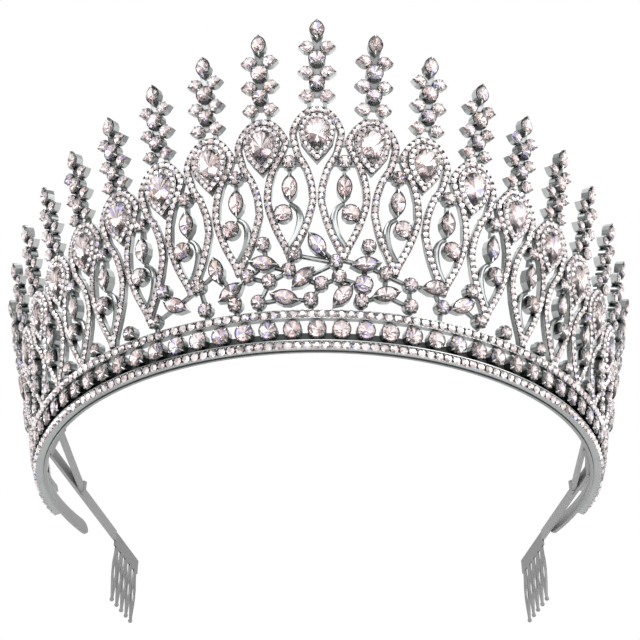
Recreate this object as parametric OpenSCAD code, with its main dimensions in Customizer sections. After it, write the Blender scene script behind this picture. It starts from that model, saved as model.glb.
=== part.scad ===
// Pageant crown: a flared openwork wall on a two-row band, with two hair combs.
// Millimetres. The origin is the centre of the rim's plane, the front faces -Y.

/* [Ring] */
// Inside radius of the openwork wall at the rim
ring_r = 75; // [65:0.5:90]
// Outward lean of the wall, degrees from upright
flare = 15; // [8:0.5:18]
// Angle between neighbouring spires, degrees
unit_pitch = 8.5; // [8:0.1:9.4]
// Number of spires on each side of the centre one
side_spires = 11; // [8:1:11]

/* [Heights along the wall] */
// Centre of the middle pear stone above the rim
pear_rise_mid = 53.5; // [50:0.5:60]
// Centre of the last pear stone above the rim
pear_rise_end = 16.5; // [16:0.5:22]
// How far the line of pear stones swells above a straight one
pear_rise_swell = 2; // [0:0.5:4]
// Middle pear stone's centre to the tip of its spire
spire_rise_mid = 31.5; // [29:0.5:36]
// Pear stone's centre to the spire's tip from the fourth spire outwards
spire_rise_end = 28.5; // [27:0.5:34]
// Pear stone's centre to the top stone of the loop beside it
loop_drop = 5.7; // [5:0.1:7]
// Length of a full loop from its top stone to its foot
loop_len = 24.5; // [23:0.5:28]

/* [Band] */
// Height of each stone row of the band
rail_h = 2.1; // [1.6:0.1:2.6]
// Distance between the centres of the two stone rows
rail_gap = 7.2; // [6.6:0.1:8.5]
// Height of the plain strip inside the band
strip_h = 4.5; // [3.5:0.1:5.5]
// Thickness of the plain strip
strip_t = 1; // [0.8:0.1:1.6]
// Half the angle that the plain strip covers, degrees
strip_end = 111; // [108:0.5:116]
// Half the angle that the stone rows cover, degrees
rail_end = 100; // [99:0.5:104]
// Spacing of the large round stones between the rows
band_stone_pitch = 5.54; // [5.2:0.02:7]

/* [Metal] */
// Thickness of the openwork
plate_t = 1.2; // [1:0.1:1.6]
// Width of the strands that carry small stones
strand_w = 1.7; // [1.4:0.1:2]
// Width of the halo round a pear stone
halo_w = 1.55; // [1.2:0.05:1.8]
// Wall of a stone's setting
cup_wall = 0.35; // [0.25:0.05:0.5]
// Height of a setting above the openwork
cup_rise = 0.8; // [0.6:0.1:1.2]
// Diameter of the twigs between the flowers of stones
twig_d = 1; // [0.8:0.1:1.1]
// Widest part of a plain scroll
scroll_w = 1.6; // [1.2:0.1:2]

/* [Stones] */
// Width of a pear stone
pear_w = 5.8; // [5:0.1:6.2]
// Length of a pear stone
pear_len = 8.7; // [8:0.1:9.2]
// Width of the marquise stones in the loops and flowers
marquise_w = 2.8; // [2.4:0.1:3.2]
// Length of the marquise stones in the loops and flowers
marquise_len = 5.9; // [5:0.1:6.2]
// Length of the marquise stone on a spire
tip_marquise_len = 4.6; // [4:0.1:5]
// Diameter of the large round stones in the band, loops and spires
round_d = 3.4; // [3:0.1:3.6]
// Diameter of the second round stone of a spire
round_mid_d = 3; // [2.6:0.1:3.2]
// Diameter of the small round stones of loops and flowers
round_small_d = 2.5; // [2.2:0.1:2.8]
// Diameter of the stones in the leaf settings of a spire
leaf_d = 2.2; // [1.8:0.1:2.3]
// Clearance between a stone and its setting
stone_gap = 0.12; // [0.1:0.01:0.2]

/* [Combs] */
// Height of the flat arm that carries a comb
arm_h = 3; // [2:0.1:3.5]
// Thickness of an arm and its brace
arm_t = 0.9; // [0.7:0.1:1.2]
// Angle at which the left arm leaves the band, degrees
arm_leave_left = 73; // [70:1:88]
// Angle at which the right arm leaves the band, degrees
arm_leave_right = 83; // [70:1:88]
// Angle that an arm lies along the band, degrees
arm_lap = 12; // [8:1:16]
// How far behind the ring's centre an arm ends
arm_back = 34; // [22:1:40]
// Inward lean of the left arm, degrees
arm_lean_left = 9; // [6:0.5:16]
// Inward lean of the right arm, degrees
arm_lean_right = 7.5; // [6:0.5:16]
// Angle at which the left arm's brace leaves the band, degrees
brace_leave_left = 63; // [58:1:72]
// Angle at which the right arm's brace leaves the band, degrees
brace_leave_right = 69; // [58:1:72]
// Height of a brace
brace_h = 2.6; // [2:0.1:3]
// How far behind the ring's centre a brace meets its arm
brace_back = 2; // [-2:0.5:6]
// Diameter of the rivet where they meet
rivet_d = 2.4; // [1.8:0.1:3]
// Width of a comb along its back
comb_w = 23.5; // [18:0.5:26]
// Thickness of a comb
comb_t = 0.5; // [0.4:0.1:0.8]
// Length of a comb's teeth below its back
tooth_len = 16; // [14:1:24]
// Number of teeth on a comb
comb_teeth = 5; // [4:1:6]
// Clearance between an arm and its comb
comb_gap = 0.15; // [0.1:0.05:0.3]

/* [Hidden] */
rail_low = 1.3;
rail_mid = rail_low + rail_gap / 2;
rail_top = rail_low + rail_gap;
loop_foot = rail_top + 0.6;
half_pitch = unit_pitch / 2;
overlap = 0.1;
seat_lift = 0.18;
proud = 0.05;
girdle = plate_t + cup_rise - 0.25;
pavilion = girdle - plate_t - seat_lift;
crown_h = 0.7;
arch_over = pear_len / 2 + halo_w + 1.1;
halo_tip = 0.35;
link_at = 5.2;
link_w = 0.4;
leaf_side = 2.5;
leaf_tip = 4.7;
post_w = 2.4;
arm_mid = arm_h / 2 + 1;
comb_back = 4.4;

// Stones of a spire, as shares of its rise
TIP_AT = 0.905;
ROUND_AT = 0.655;
ROUND_MID_AT = 0.445;
// Leaf settings of a spire, columns: share of its rise, share of leaf_side
LEAVES = [[0.335, 0.9], [0.54, 1], [0.76, 0.96]];
// Shoulder of an arch, columns: share of half a unit's width, share of arch_over
ARCH = [[0, 1], [0.27, 0.95], [0.56, 0.73], [0.78, 0.4], [0.875, 0.08]];
// Leg of a loop, columns: share of half a unit's width, share of the loop's length
LEG = [[0.7, -0.09], [0.41, 0.05], [0.22, 0.22], [0.165, 0.4], [0.33, 0.58], [0.53, 0.72], [0.91, 0.92], [1, 1]];
// Scroll of a loop, columns: share of half a unit's width, share of the loop, share of scroll_w
SCROLL = [[0, 0.42, 0.5], [-0.27, 0.48, 0.7], [-0.38, 0.6, 1], [-0.22, 0.75, 0.9], [0.06, 0.86, 0.7], [0.2, 0.93, 0.6]];
// Stones in a loop, as shares of its length
LOOP_MARQUISE_AT = 0.265;
LOOP_ROUND_AT = 0.53;
LOOP_ROUND_SIDE = 0.25;

// Marquise stones of the flowers, columns: unit, share of the height to the middle loop's foot, tilt
FLOWER_MARQUISES = [
    [0, 1.16, 33], [-1.02, 0.97, 78], [-0.27, 0.79, -45], [-0.62, 0.575, 73], [-1.68, 0.69, -58],
    [-1.95, 0.96, 10], [0.5, 0.6, -38], [0.93, 0.955, -80], [1.34, 0.64, -72], [2.32, 0.8, -75],
    [-2.86, 0.67, 60], [2.94, 0.67, -60]
];
// Round stones of the flowers, columns: unit, share of the height to the middle loop's foot, share of size
FLOWER_ROUNDS = [
    [-0.42, 1.06, 1], [0.36, 0.97, 1], [-1.02, 1.19, 1], [-0.54, 0.88, 1], [-0.92, 0.77, 1], [-1.33, 0.84, 1],
    [0.08, 0.72, 1], [0.42, 0.8, 1], [-0.12, 0.545, 1], [-1.14, 0.545, 1], [-1.6, 0.545, 1], [0.9, 0.73, 1.35],
    [0.98, 1.16, 1], [1.32, 0.87, 1], [0.86, 0.545, 1], [1.82, 0.78, 1], [1.84, 0.545, 1], [-2.34, 0.82, 1],
    [-2.22, 0.545, 1], [2.5, 0.6, 1], [-3.1, 0.86, 1], [3.1, 0.86, 1], [3.36, 0.56, 1], [-3.36, 0.56, 1]
];
// Twigs between them, columns: unit and height share of one end, then of the other
TWIGS = [
    [0, 1.16, 0.36, 0.97], [0.36, 0.97, 0.42, 0.8], [-0.42, 1.06, 0.36, 0.97], [-0.42, 1.06, -0.54, 0.88],
    [-0.5, 1, -0.42, 1.06], [-0.54, 0.88, -0.92, 0.77], [-0.92, 0.77, -1.33, 0.84], [-0.27, 0.79, 0.08, 0.72],
    [-1.02, 0.97, -0.54, 0.88], [-1.02, 0.97, -1.33, 0.84], [-0.27, 0.79, 0.36, 0.97],
    [0.08, 0.72, 0.42, 0.8], [0.08, 0.72, -0.12, 0.545], [-0.12, 0.545, -0.62, 0.575], [-0.62, 0.575, -1.14, 0.545],
    [-0.92, 0.77, -1.14, 0.545], [0.42, 0.8, 0.5, 0.6], [0.42, 0.8, 0.9, 0.73], [0.9, 0.73, 0.93, 0.955],
    [0.5, 1, 0.93, 0.955], [0.93, 0.955, 1.32, 0.87], [1.32, 0.87, 1.34, 0.64], [0.86, 0.545, 1.34, 0.64],
    [0.9, 0.73, 0.86, 0.545], [1.32, 0.87, 1.82, 0.78], [1.82, 0.78, 1.84, 0.545], [1.34, 0.64, 1.84, 0.545],
    [-1.33, 0.84, -1.68, 0.69], [-1.68, 0.69, -1.6, 0.545], [-1.95, 0.96, -1.68, 0.69], [-1.95, 0.96, -2.34, 0.82],
    [-2.34, 0.82, -2.22, 0.545], [1.82, 0.78, 2.32, 0.8], [2.32, 0.8, 2.5, 0.6], [2.5, 0.6, 2.94, 0.67],
    [-2.34, 0.82, -2.86, 0.67], [-2.86, 0.67, -3.1, 0.86], [2.94, 0.67, 3.1, 0.86], [2.94, 0.67, 3.36, 0.56],
    [-2.86, 0.67, -3.36, 0.56], [-0.98, 1.02, -1.02, 1.19], [0.96, 1, 0.98, 1.16]
];
// Unit from which one round stone stands on the band between two loops
base_round_from = 4;
base_round_to = min(8, side_spires);
base_round_rise = rail_h / 2 + round_small_d / 2 + stone_gap + cup_wall + 0.3;

SPIRES = [for (k = [-side_spires:side_spires]) k];
LOOPS = [for (k = [-side_spires:side_spires - 1]) k + 0.5];
band_stones = floor(2 * (rail_end - 2) / arc_deg(band_stone_pitch, rail_mid));

function arc_deg(len, v) = len / wall_r(v, plate_t) * 180 / PI;
function pear_name(k) = k == 0 ? "pear_stone_mid"
    : str("pear_stone_", k < 0 ? "left_" : "right_", abs(k));

// Points and heights on the flared wall: unit number, height along it, distance out of it
function wall_r(v, w = 0) = ring_r + v * sin(flare) + w * cos(flare);
function wall_z(v, w = 0) = v * cos(flare) - w * sin(flare);
function wall_point(k, v, w) = [
    wall_r(v, w) * sin(k * unit_pitch), -wall_r(v, w) * cos(k * unit_pitch), wall_z(v, w)
];
function half_w(v) = wall_r(v) * tan(half_pitch);
function pear_v(k) = let (s = abs(k) / side_spires)
    pear_rise_mid + (pear_rise_end - pear_rise_mid) * s + pear_rise_swell * sin(180 * min(s, 1));
function apex_v(j) = (pear_v(j - 0.5) + pear_v(j + 0.5)) / 2 - loop_drop;
function foot_v(j) = max(loop_foot, apex_v(j) - loop_len);
function loop_l(j) = max(0, apex_v(j) - foot_v(j));
function loop_size(j) = loop_l(j) / loop_len;
function loop_at(j, share) = apex_v(j) - share * loop_l(j);
function rise(k) = spire_rise_mid + (spire_rise_end - spire_rise_mid) * min(1, abs(k) / 4);
function side_of(j) = j < 0 ? -1 : 1;
function has_top(j) = loop_l(j) > 0.15 * loop_len;
function has_marquise(j) = loop_l(j) > 0.4 * loop_len;
function has_scroll(j) = loop_l(j) > 0.6 * loop_len;
function flower_v(share) = share * foot_v(0.5);

// A smooth line through points, and the outline of a strand along it
function spline_at(a, b, c, d, t) =
    0.5 * (2 * b + (c - a) * t + (2 * a - 5 * b + 4 * c - d) * t * t + (3 * b - a - 3 * c + d) * t * t * t);
function smooth(pts, n) = let (last = len(pts) - 1) [
    for (i = [0:last - 1], j = [0:n - 1])
        spline_at(pts[max(i - 1, 0)], pts[i], pts[i + 1], pts[min(i + 2, last)], j / n),
    pts[last]
];
function heading(pts, i) =
    let (d = pts[min(i + 1, len(pts) - 1)] - pts[max(i - 1, 0)]) [d.x, d.y] / norm([d.x, d.y]);
function edge(pts, side) = [
    for (i = [0:len(pts) - 1]) let (h = heading(pts, i))
        [pts[i].x, pts[i].y] + side * pts[i].z / 2 * [-h.y, h.x]
];
function reversed(list) = [for (i = [len(list) - 1:-1:0]) list[i]];

// Outlines of the cut stones, anticlockwise
function round_outline(d, n = 8) = [for (i = [0:n - 1]) d / 2 * [cos(360 * i / n), sin(360 * i / n)]];
function marquise_half(w, l, n) = [
    for (i = [0:n - 1]) let (y = -1 + 2 * i / n) [w / 2 * pow(1 - y * y, 0.85), y * l / 2]
];
function marquise_outline(w, l, n = 4) = concat(
    marquise_half(w, l, n), [for (p = marquise_half(w, l, n)) -p]
);
function pear_outline(w, l, tip = 0, n = 7) = let (r = w / 2, c = l / 2 - r, d = c + l / 2, a = -14) concat(
    [[0, -l / 2 - tip], [r * 0.34, c - d * 0.85], [r * 0.8, c - d * 0.52]],
    [for (i = [0:n]) [r * cos(a + (180 - 2 * a) * i / n), c + r * sin(a + (180 - 2 * a) * i / n)]],
    [[-r * 0.8, c - d * 0.52], [-r * 0.34, c - d * 0.85]]
);

// A round setting drawn out to a point on one side
function leaf_outline(r, reach, n = 4) = let (a = acos(r / reach)) concat(
    [[reach, 0]], [for (i = [0:n]) r * [cos(a + (360 - 2 * a) * i / n), sin(a + (360 - 2 * a) * i / n)]]
);

// Places a flat shape on the wall: unit number, height, distance out, turn
module on_wall(k, v = 0, w = 0, turn = 0) {
    rotate([0, 0, k * unit_pitch])
        translate([0, -ring_r, 0])
            rotate([90 + flare, 0, 0])
                translate([0, v, w])
                    rotate([0, 0, turn])
                        children();
}

// A strand in the plane: points with columns sideways, up, width
module strand(pts) {
    polygon(concat(edge(pts, 1), reversed(edge(pts, -1))));
}

// A ring round the wall: heights from and to, distances out from and to, half its angle
module wall_ring(v0, v1, w0, w1, half_angle) {
    corners = [[v0, w0], [v0, w1], [v1, w1], [v1, w0]];
    rotate([0, 0, -90 - half_angle])
        rotate_extrude(angle = 2 * half_angle, $fn = 180)
            polygon([for (p = corners) [wall_r(p[0], p[1]), wall_z(p[0], p[1])]]);
}

// The setting of a round stone: floor and wall in one, a little proud of the openwork's back
module round_setting(d) {
    r = d / 2 + stone_gap;
    rotate_extrude($fn = 48) polygon([
        [0, -proud], [r + cup_wall, -proud], [r + cup_wall, plate_t + cup_rise],
        [r, plate_t + cup_rise], [r, plate_t + proud], [0, plate_t + proud]
    ]);
}

// The same for a stone with any outline
module outline_setting(outline) {
    difference() {
        translate([0, 0, -proud])
            linear_extrude(plate_t + cup_rise + proud) offset(delta = stone_gap + cup_wall) polygon(outline);
        translate([0, 0, plate_t + proud])
            linear_extrude(cup_rise) offset(delta = stone_gap) polygon(outline);
    }
}

// Only the wall of a pear stone's setting, which stands on its halo
module pear_cup() {
    translate([0, 0, plate_t - overlap])
        linear_extrude(cup_rise + overlap)
            difference() {
                offset(delta = stone_gap + cup_wall) polygon(pear_outline(pear_w, pear_len));
                offset(delta = stone_gap) polygon(pear_outline(pear_w, pear_len));
            }
}

// A cut stone: flat table, crown facets, pavilion facets down to a point
module cut_stone(outline, table = 0.56) {
    n = len(outline);
    translate([0, 0, girdle])
        polyhedron(
            points = concat(
                [for (p = outline) [p.x * table, p.y * table, crown_h]],
                [for (p = outline) [p.x, p.y, 0]],
                [[0, 0, -pavilion]]
            ),
            faces = concat(
                [[for (i = [n - 1:-1:0]) i]],
                [for (i = [0:n - 1]) [i, (i + 1) % n, n + (i + 1) % n, n + i]],
                [for (i = [0:n - 1]) [n + i, n + (i + 1) % n, 2 * n]]
            )
        );
}

// A pear above the place where its strand meets the next one has a short link there
function is_linked(p, touch) = p > touch + 1;
// Centre line of the strand from an arch's crown down one side of a unit to the loop's foot
function leg_line(k, side) = let (
        j = k + side / 2,
        p = pear_v(k),
        touch = apex_v(j) + link_at,
        points = concat(
            [for (a = ARCH) if (p + a[1] * arch_over > touch + 1) [a[0] * half_w(p), p + a[1] * arch_over]],
            [[half_w(touch) - strand_w / 2 - (is_linked(p, touch) ? link_w : 0), touch]],
            [for (g = LEG) [g[0] * half_w(loop_at(j, g[1])), loop_at(j, g[1])]]
        )
    )
    [for (q = points) [side * q[0], max(q[1], rail_top), strand_w]];

// Everything of one spire that lies in the wall
module spire_flat(k) {
    p = pear_v(k);
    for (side = [-1, 1]) {
        touch = apex_v(k + side / 2) + link_at;
        strand(leg_line(k, side));
        if (is_linked(p, touch))
            translate([side * (half_w(touch) - link_w / 2) - link_w / 2 - 0.3, touch - 0.7])
                square([link_w + 0.6, 1.4]);
        translate([side * 1.9 - 0.5, p + arch_over - 0.5])
            square([1, LEAVES[0][0] * rise(k) - arch_over]);
        for (leaf = LEAVES)
            translate([side * leaf[1] * leaf_side, p + leaf[0] * rise(k)])
                rotate(90 - side * 90)
                    polygon(leaf_outline(leaf_d / 2 + stone_gap + cup_wall, leaf_tip - leaf_side));
    }
    translate([0, p]) offset(delta = halo_w) polygon(pear_outline(pear_w, pear_len, halo_tip));
    for (side = [-1, 1]) strand([
        [side * pear_w / 4, p + pear_len / 4, 0.8], [side * ARCH[2].x * half_w(p), p + ARCH[2].y * arch_over, 0.8]
    ]);
    translate([-post_w / 2, p + LEAVES[0][0] * rise(k)])
        square([post_w, (TIP_AT - LEAVES[0][0]) * rise(k) - tip_marquise_len / 4]);
}

module spire(k) {
    p = pear_v(k);
    on_wall(k) {
        linear_extrude(plate_t) offset(delta = 0.02) spire_flat(k);
        translate([0, p, 0]) pear_cup();
        translate([0, p + ROUND_MID_AT * rise(k), 0]) round_setting(round_mid_d);
        translate([0, p + ROUND_AT * rise(k), 0]) round_setting(round_d);
        translate([0, p + TIP_AT * rise(k), 0]) outline_setting(marquise_outline(marquise_w, tip_marquise_len));
    }
}

// Marquise stone of a loop, shortened with the loop
function loop_marquise(j) = marquise_outline(marquise_w, marquise_len * min(1, loop_size(j) + 0.1));

// Everything that hangs inside one loop
module loop_flat(j) {
    s = side_of(j);
    reach = half_w(apex_v(j));
    translate([0, apex_v(j)]) square([1.25 * reach, 1], center = true);
    if (has_marquise(j))
        translate([-0.45, loop_at(j, LOOP_MARQUISE_AT)]) square([0.9, LOOP_MARQUISE_AT * loop_l(j)]);
    if (has_scroll(j))
        strand(smooth([
            for (q = SCROLL) [s * q[0] * half_w(loop_at(j, q[1])), loop_at(j, q[1]), q[2] * scroll_w]
        ], 2));
}

module loop_fill(j) {
    on_wall(j) {
        linear_extrude(plate_t) offset(delta = 0.02) loop_flat(j);
        translate([0, apex_v(j), 0]) round_setting(round_small_d);
        if (has_marquise(j)) translate([0, loop_at(j, LOOP_MARQUISE_AT), 0]) outline_setting(loop_marquise(j));
        if (has_scroll(j))
            translate([side_of(j) * LOOP_ROUND_SIDE * half_w(apex_v(j)), loop_at(j, LOOP_ROUND_AT), 0])
                round_setting(round_d);
    }
}

// Band: two stone rows, the plain strip inside them and the settings between
module band() {
    wall_ring(0, strip_h, -strip_t, -overlap, strip_end);
    for (v = [rail_low, rail_top]) wall_ring(v - rail_h / 2, v + rail_h / 2, -0.3, plate_t + 0.4, rail_end);
    for (side = [-1, 1])
        on_wall(side * strip_end / unit_pitch, strip_h / 2, 0.05 - strip_t)
            cylinder(d = strip_h - overlap, h = strip_t - 0.25, $fn = 48);
    for (i = [0:band_stones - 1]) on_wall(band_unit(i), rail_mid) {
        translate([-0.6, -rail_gap / 2, 0.15]) cube([1.2, rail_gap, plate_t - 0.3]);
        round_setting(round_d);
    }
}

function band_unit(i) = (i - (band_stones - 1) / 2) * arc_deg(band_stone_pitch, rail_mid) / unit_pitch;

// A straight twig between two points, given as unit and height
module twig(a, b) {
    from = wall_point(a.x, a.y, plate_t / 2);
    v = wall_point(b.x, b.y, plate_t / 2) - from;
    translate(from)
        rotate([0, acos(v.z / norm(v)), atan2(v.y, v.x)])
            cylinder(d = twig_d, h = norm(v), $fn = 6);
}

// Flowers of stones low in the middle of the wall
module flowers() {
    for (m = FLOWER_MARQUISES)
        on_wall(m[0], flower_v(m[1]), 0, m[2]) outline_setting(marquise_outline(marquise_w, marquise_len));
    for (r = FLOWER_ROUNDS) on_wall(r[0], flower_v(r[1])) round_setting(r[2] * round_small_d);
    for (t = TWIGS) twig([t[0], flower_v(t[1])], [t[2], flower_v(t[3])]);
    for (r = FLOWER_ROUNDS) if (r[1] < 0.65) twig([r[0], flower_v(r[1])], [r[0], rail_top]);
}

BASE_ROUNDS = [for (k = [base_round_from:base_round_to], s = [-1, 1]) s * k];
module base_rounds() {
    for (k = BASE_ROUNDS) {
        on_wall(k, rail_top + base_round_rise) round_setting(round_small_d);
        twig([k, rail_top], [k, rail_top + base_round_rise]);
    }
}

// Flat arm inside the band that carries a comb, on the side with this sign
module arm(side) {
    mirror([side < 0 ? 1 : 0, 0, 0]) {
        rotate([0, 0, arm_leave(side) - arm_lap - 90])
            translate([0, 0, arm_mid - arm_h / 2 + arm_step])
                rotate_extrude(angle = arm_lap + arm_past, $fn = 180)
                    translate([arm_r, 0]) square([ring_r - arm_r, arm_h - 2 * arm_step]);
        arm_frame(side) cube([arm_len(side), arm_t, arm_h]);
        brace(side);
    }
}

// Brace from the strip to the arm, a little higher than the arm, with a rivet where they meet
module brace(side) {
    from = brace_root(side);
    to = [arm_x(side, brace_back), brace_back];
    translate([0, 0, brace_low])
        linear_extrude(brace_h) strand([[from.x, from.y, arm_t], [to.x, to.y, arm_t]]);
    translate([to.x, to.y, brace_low - 0.2]) rotate(10) cylinder(d = rivet_d, h = brace_h + 0.9, $fn = 8);
}
brace_low = 1.5;
function brace_root(side) = let (a = side < 0 ? brace_leave_left : brace_leave_right, r = ring_r - strip_t + 0.35)
    [r * sin(a), -r * cos(a)];
// Where an arm's inner face is at a distance behind the ring's centre
function arm_x(side, y) = arm_r * sin(arm_leave(side)) - (y + arm_r * cos(arm_leave(side))) * tan(arm_lean(side));

arm_r = ring_r - strip_t - arm_t;
// The curved part is a little lower and runs past the bend, into the straight part
arm_past = 0.4;
arm_step = 0.1;
function arm_leave(side) = side < 0 ? arm_leave_left : arm_leave_right;
function arm_lean(side) = side < 0 ? arm_lean_left : arm_lean_right;
function arm_len(side) = (arm_back + arm_r * cos(arm_leave(side))) / cos(arm_lean(side)) + 1;

// Frame of an arm's straight part: X runs back along it
module arm_frame(side) {
    translate([arm_r * sin(arm_leave(side)), -arm_r * cos(arm_leave(side)), arm_mid - arm_h / 2])
        rotate([0, 0, 90 + arm_lean(side)])
            translate([-1, -arm_t, 0])
                children();
}

module crown_frame() {
    color("silver") union() {
        band();
        for (k = SPIRES) spire(k);
        for (j = LOOPS) if (has_top(j)) loop_fill(j);
        flowers();
        base_rounds();
        arm(1);
        arm(-1);
    }
}

// Half of a tooth and of its slit from root to tip, columns: share of tooth_step, share of tooth_len
TOOTH = [[0.23, -0.02], [0.3, 0.14], [0.45, 0.32], [0.465, 0.5], [0.4, 0.64], [0.11, 1]];
SLIT = [[0.02, 0.28], [0.2, 0.38], [0.24, 0.48], [0.19, 0.58], [0.02, 0.68]];
tooth_step = comb_w / comb_teeth;
tooth_ball = 0.28 * tooth_step;
module both_sides(half) {
    right = [for (q = half) [q.x * tooth_step, -comb_back - q.y * tooth_len]];
    polygon(concat(right, reversed([for (q = right) [-q.x, q.y]])));
}

// One comb: its back, and teeth that are narrow at the root and tip, with a slit and a ball each
module comb_flat() {
    translate([0, -comb_back]) square([comb_w, comb_back]);
    for (i = [0:comb_teeth - 1]) translate([(i + 0.5) * tooth_step, 0]) difference() {
        both_sides(TOOTH);
        both_sides(SLIT);
    }
}

module comb(side) {
    color("silver") mirror([side < 0 ? 1 : 0, 0, 0])
        arm_frame(side) translate([arm_len(side) + comb_gap, (arm_t + comb_t) / 2, arm_h - overlap]) {
            rotate([90, 0, 0]) linear_extrude(comb_t) comb_flat();
            for (i = [0:comb_teeth - 1])
                translate([(i + 0.5) * tooth_step, -comb_t / 2, -comb_back - tooth_len])
                    sphere(d = tooth_ball, $fn = 24);
        }
}

module pear_stone(k) {
    color("mistyrose") on_wall(k, pear_v(k)) cut_stone(pear_outline(pear_w, pear_len));
}

module spire_tip_stones() {
    color("mistyrose") for (k = SPIRES)
        on_wall(k, pear_v(k) + TIP_AT * rise(k)) cut_stone(marquise_outline(marquise_w, tip_marquise_len));
}

module spire_round_stones() {
    color("mistyrose") for (k = SPIRES) {
        on_wall(k, pear_v(k) + ROUND_AT * rise(k)) cut_stone(round_outline(round_d));
        on_wall(k, pear_v(k) + ROUND_MID_AT * rise(k)) cut_stone(round_outline(round_mid_d));
    }
}

module loop_top_stones() {
    color("mistyrose") for (j = LOOPS) if (has_top(j))
        on_wall(j, apex_v(j)) cut_stone(round_outline(round_small_d));
}

module loop_marquise_stones() {
    color("mistyrose") for (j = LOOPS) if (has_marquise(j))
        on_wall(j, loop_at(j, LOOP_MARQUISE_AT)) cut_stone(loop_marquise(j));
}

module loop_round_stones() {
    color("mistyrose") for (j = LOOPS) if (has_scroll(j))
        on_wall(j) translate([side_of(j) * LOOP_ROUND_SIDE * half_w(apex_v(j)), loop_at(j, LOOP_ROUND_AT), 0])
            cut_stone(round_outline(round_d));
}

module band_stones(side) {
    color("mistyrose") for (i = [0:band_stones - 1]) if ((band_unit(i) < -0.01) == (side < 0))
        on_wall(band_unit(i), rail_mid) cut_stone(round_outline(round_d));
}

module flower_marquise_stones() {
    color("mistyrose") for (m = FLOWER_MARQUISES)
        on_wall(m[0], flower_v(m[1]), 0, m[2]) cut_stone(marquise_outline(marquise_w, marquise_len));
}

module flower_round_stones() {
    color("mistyrose") for (r = FLOWER_ROUNDS)
        on_wall(r[0], flower_v(r[1])) cut_stone(round_outline(r[2] * round_small_d));
}

module base_round_stones() {
    color("mistyrose") for (k = BASE_ROUNDS)
        on_wall(k, rail_top + base_round_rise) cut_stone(round_outline(round_small_d));
}

crown_frame();
comb(-1);  // comb_left
comb(1);  // comb_right
spire_tip_stones();
spire_round_stones();
loop_top_stones();
loop_marquise_stones();
loop_round_stones();
band_stones(-1);  // band_stones_left
band_stones(1);  // band_stones_right
flower_marquise_stones();
flower_round_stones();
base_round_stones();
for (k = SPIRES) pear_stone(k);
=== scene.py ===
"""Pageant crown: cut stones, claws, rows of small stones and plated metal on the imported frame.

Sizes are the part's own, in millimetres, and placements are in metres. The origin is the centre of the
rim's plane, Z is up and the front faces -Y. A place on the flared wall is a unit number round the ring, a
height along the wall and a distance out from its back; on_wall() turns it into a placement.
"""

import math
import random

import bpy
from mathutils import Matrix, Vector


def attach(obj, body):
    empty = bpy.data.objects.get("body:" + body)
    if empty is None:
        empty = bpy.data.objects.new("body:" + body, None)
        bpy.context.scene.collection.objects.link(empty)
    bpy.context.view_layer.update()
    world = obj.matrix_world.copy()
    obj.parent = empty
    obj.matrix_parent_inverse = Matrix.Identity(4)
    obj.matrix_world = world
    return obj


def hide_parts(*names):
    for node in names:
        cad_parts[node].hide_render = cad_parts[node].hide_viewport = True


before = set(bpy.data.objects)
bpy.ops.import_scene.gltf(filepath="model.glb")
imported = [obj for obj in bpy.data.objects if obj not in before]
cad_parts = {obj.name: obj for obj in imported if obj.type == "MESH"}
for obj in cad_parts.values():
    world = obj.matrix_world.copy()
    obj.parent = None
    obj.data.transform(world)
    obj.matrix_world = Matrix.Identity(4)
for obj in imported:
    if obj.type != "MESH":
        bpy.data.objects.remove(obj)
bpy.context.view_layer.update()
chance = random.Random(11)
MM = 0.001

# Ring and wall
RING_R = 75
FLARE = math.radians(15)
UNIT_PITCH = math.radians(8.5)
SIDE_SPIRES = 11
PEAR_RISE_MID, PEAR_RISE_END, PEAR_RISE_SWELL = 53.5, 16.5, 2
SPIRE_RISE_MID, SPIRE_RISE_END, SPIRE_RISE_SPAN = 31.5, 28.5, 4
LOOP_DROP, LOOP_LEN = 5.7, 24.5

# Band
RAIL_H, RAIL_GAP, RAIL_LOW, RAIL_END = 2.1, 7.2, 1.3, math.radians(100)
RAIL_MID, RAIL_TOP = RAIL_LOW + RAIL_GAP / 2, RAIL_LOW + RAIL_GAP
BAND_STONE_PITCH, BAND_END_MARGIN = 5.54, math.radians(2)

# Metal
PLATE_T = 1.2
RAIL_FACE = PLATE_T + 0.4
STRAND_W, HALO_W = 1.7, 1.55
CUP_WALL, CUP_RISE = 0.35, 0.8
CUP_TOP = PLATE_T + CUP_RISE
TWIG_D, SCROLL_W = 1, 1.6
LEAF_SIDE, LEAF_TIP = 2.5, 4.7
LEAF_REACH = LEAF_TIP - LEAF_SIDE

# Stones
PEAR_W, PEAR_LEN = 5.8, 8.7
ARCH_OVER, HALO_TIP = PEAR_LEN / 2 + HALO_W + 1.1, 0.35
LINK_AT, LINK_W = 5.2, 0.4
MARQUISE_W, MARQUISE_LEN, TIP_MARQUISE_LEN = 2.8, 5.9, 4.6
ROUND_D, ROUND_MID_D, ROUND_SMALL_D, LEAF_D = 3.4, 3, 2.5, 2.2
STONE_GAP = 0.12
# The dressed stones lie on their settings' rims and nearly hide them
OVERHANG = STONE_GAP + 1.1 * CUP_WALL
GIRDLE = CUP_TOP + 0.06
STRAND_STONE_D, STRAND_STONE_PITCH = 1.66, 1.6
HALO_STONE_D, HALO_STONE_PITCH = 1.46, 1.45
RAIL_STONE_D, RAIL_STONE_PITCH = 2.04, 2.2

# Cut of the main stones: share of the table, heights of crown, pavilion and girdle
TABLE, STONE_TOP, STONE_DEPTH, GIRDLE_H = 0.56, 0.62, GIRDLE - PLATE_T - 0.12, 0.08
PEAR_TOP, PEAR_OVERHANG = 0.8, 0.1
# Outlines: fullness of a marquise; a pear's arc starts below its middle, and its flanks are shares of the
# half width and of the way down to the tip
MARQUISE_POWER = 0.85
PEAR_ARC_START, PEAR_FLANK = math.radians(-14), [(0.34, 0.85), (0.8, 0.52)]
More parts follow.
